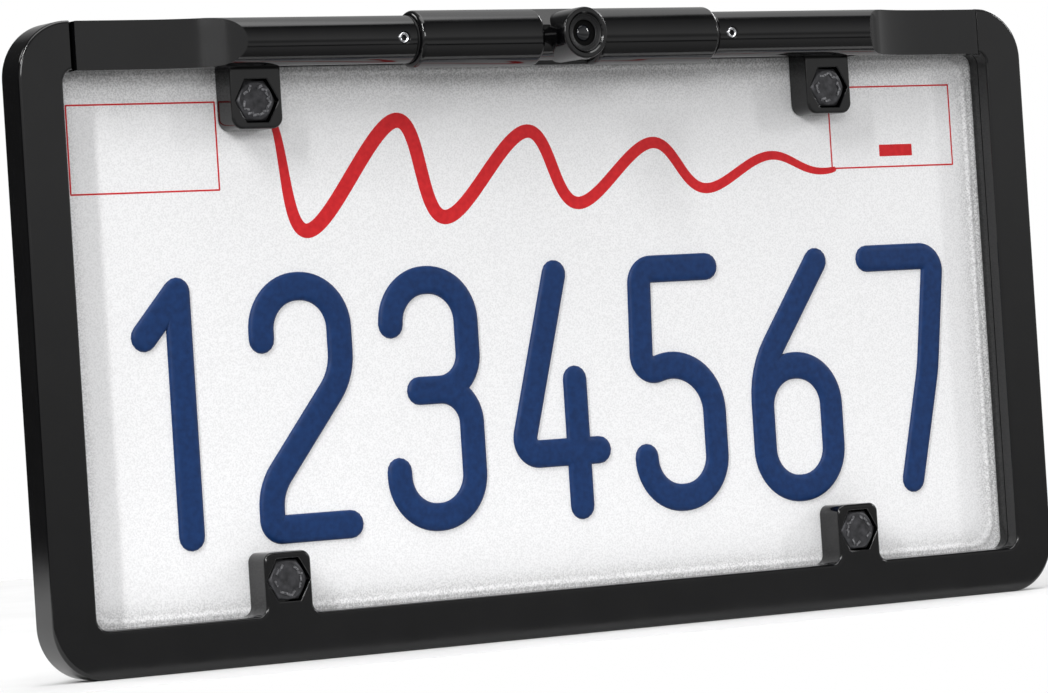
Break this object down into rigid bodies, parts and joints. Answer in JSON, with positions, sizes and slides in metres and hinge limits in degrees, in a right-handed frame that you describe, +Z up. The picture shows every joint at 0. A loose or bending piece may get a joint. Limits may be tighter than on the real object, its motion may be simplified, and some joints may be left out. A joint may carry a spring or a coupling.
{
  "type": "licence plate frame backup camera",
  "caption": "Licence plate frame with a plate and four tab bolts. A round barrel in its top bar holds a small camera and turns to tilt it.",
  "frame": {"origin": "centre of the four mounting bolts, on the back face of the plate", "axes": "+X to the right of someone facing the lens and along the frame's length, +Y out of the plate's back into the vehicle, +Z up"},
  "size_m": [0.3102, 0.0374, 0.1632],
  "materials": {
    "cast_gloss_black": "gloss black paint on a die casting",
    "plate_white": "reflective white sheeting on an aluminium plate",
    "plate_blue": "dark blue ink on embossed digits",
    "plate_red": "red ink",
    "bolt_black": "black zinc plating, satin",
    "steel": "bright zinc plated steel",
    "trunnion_metal": "black anodised, satin",
    "nylon": "natural nylon",
    "rubber_black": "matte",
    "shroud_black": "matte black, anti-reflection",
    "lens_glass": "coated optical glass",
    "sensor_dark": "dark glazed chip",
    "board_green": "green solder mask"
  },
  "bodies": {
    "frame": {"frame_casting": "cast_gloss_black", "licence_plate": "plate_white", "plate_bolt_upper_left": "bolt_black", "plate_bolt_upper_right": "bolt_black", "plate_bolt_lower_left": "bolt_black", "plate_bolt_lower_right": "bolt_black", "arm_left": "cast_gloss_black", "arm_right": "cast_gloss_black", "arm_screw_left_1": "steel", "arm_screw_left_2": "steel", "arm_screw_right_1": "steel", "arm_screw_right_2": "steel", "cable_gland": "rubber_black", "thrust_washer_left": "shroud_black", "thrust_washer_right": "shroud_black"},
    "set_screw_left": {"set_screw_left": "steel"},
    "set_screw_right": {"set_screw_right": "steel"},
    "camera": {"barrel_housing": "cast_gloss_black", "rear_cover": "cast_gloss_black", "cover_screw_left": "bolt_black", "cover_screw_right": "bolt_black", "trunnion_left": "trunnion_metal", "trunnion_right": "trunnion_metal", "barrel_seal_left": "rubber_black", "barrel_seal_right": "rubber_black", "lens_shroud": "shroud_black", "lens_seal": "rubber_black", "lens_barrel": "shroud_black", "front_lens": "lens_glass", "middle_lens": "lens_glass", "lens_spacer": "shroud_black", "rear_lens": "lens_glass", "lens_retaining_ring": "shroud_black", "infrared_filter": "lens_glass", "lens_holder": "shroud_black", "image_sensor": "sensor_dark", "circuit_board": "board_green", "cable_connector": "nylon", "board_screw_left": "steel", "board_screw_right": "steel"}
  },
  "joints": [
    {"name": "camera_tilt", "type": "hinge", "parent": "frame", "child": "camera", "pos_m": [0, -0.0135, 0.0747], "axis": [1, 0, 0], "range_deg": [-30, 60]},
    {"name": "set_screw_left_turn", "type": "hinge", "parent": "frame", "child": "set_screw_left", "pos_m": [-0.0508, -0.0185, 0.0747], "axis": [0, -1, 0], "range_deg": [0, 360]},
    {"name": "set_screw_right_turn", "type": "hinge", "parent": "frame", "child": "set_screw_right", "pos_m": [0.0508, -0.0185, 0.0747], "axis": [0, -1, 0], "range_deg": [0, 360]}
  ]
}
